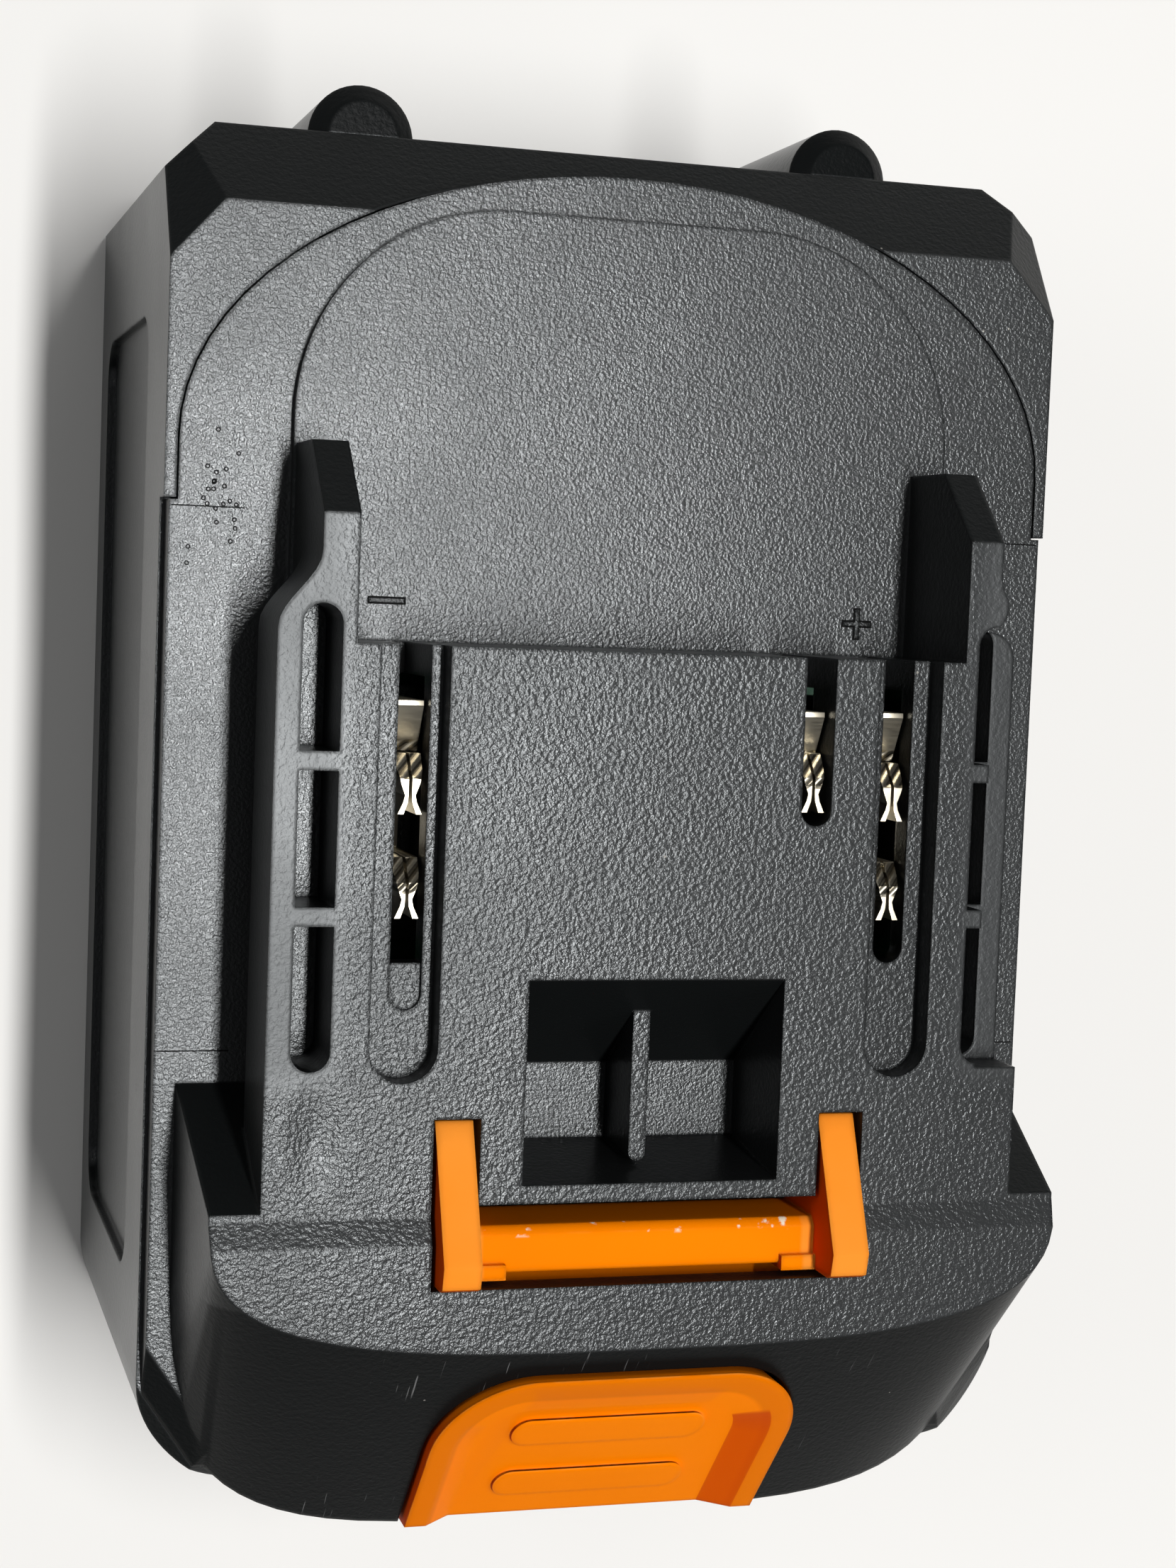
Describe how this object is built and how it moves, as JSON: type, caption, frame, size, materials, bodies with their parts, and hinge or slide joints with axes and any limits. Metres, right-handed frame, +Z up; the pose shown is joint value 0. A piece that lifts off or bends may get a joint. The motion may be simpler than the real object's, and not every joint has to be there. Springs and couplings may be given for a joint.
{
  "type": "power tool battery pack",
  "caption": "Slide-on battery pack for a cordless tool: dark split case with rails and fork contacts on top, cells inside, and a sprung orange release latch.",
  "frame": {"origin": "middle of the bounding box at its bottom, on the surface that the pack stands on", "axes": "+Z up, +Y from the release latch towards the rear wall, along the slide, +X across"},
  "size_m": [0.075, 0.1186, 0.0695],
  "materials": {
    "case_plastic": "fine-textured charcoal moulding",
    "latch_plastic": "smooth orange moulding",
    "spring_steel": "drawn spring wire",
    "holder_plastic": "plain dark moulding",
    "contact_nickel": "nickel-plated spring sheet",
    "board_laminate": "green solder resist",
    "component_plastic": "moulded component bodies",
    "frame_plastic": "plain dark moulding",
    "link_nickel": "rolled nickel strip",
    "insulating_sheet": "pale pressed sheet",
    "pad_foam": "closed-cell foam",
    "screw_steel": "plated steel",
    "cell_sleeve": "shrink sleeve"
  },
  "bodies": {
    "pack": {"upper_case": "case_plastic", "lower_case": "case_plastic", "latch_spring_left": "spring_steel", "latch_spring_right": "spring_steel", "terminal_holder": "holder_plastic", "contact_negative": "contact_nickel", "contact_positive": "contact_nickel", "contact_sense": "contact_nickel", "circuit_board": "board_laminate", "board_components": "component_plastic", "cell_frame_left": "frame_plastic", "cell_frame_right": "frame_plastic", "nickel_strips_left": "link_nickel", "nickel_strips_right": "link_nickel", "insulator_left": "insulating_sheet", "insulator_right": "insulating_sheet", "bottom_pad": "pad_foam", "case_screws": "screw_steel", "cell_1": "cell_sleeve", "cell_2": "cell_sleeve", "cell_3": "cell_sleeve", "cell_4": "cell_sleeve", "cell_5": "cell_sleeve", "cell_6": "cell_sleeve", "cell_7": "cell_sleeve", "cell_8": "cell_sleeve", "cell_9": "cell_sleeve", "cell_10": "cell_sleeve"},
    "latch": {"release_latch": "latch_plastic"}
  },
  "joints": [
    {"name": "latch_press", "type": "slide", "parent": "pack", "child": "latch", "axis": [0, 0, -1], "range_m": [0, 0.004], "stiffness_N_per_m": 1500, "springref_m": -0.003, "deforming": ["latch_spring_left", "latch_spring_right"]}
  ]
}
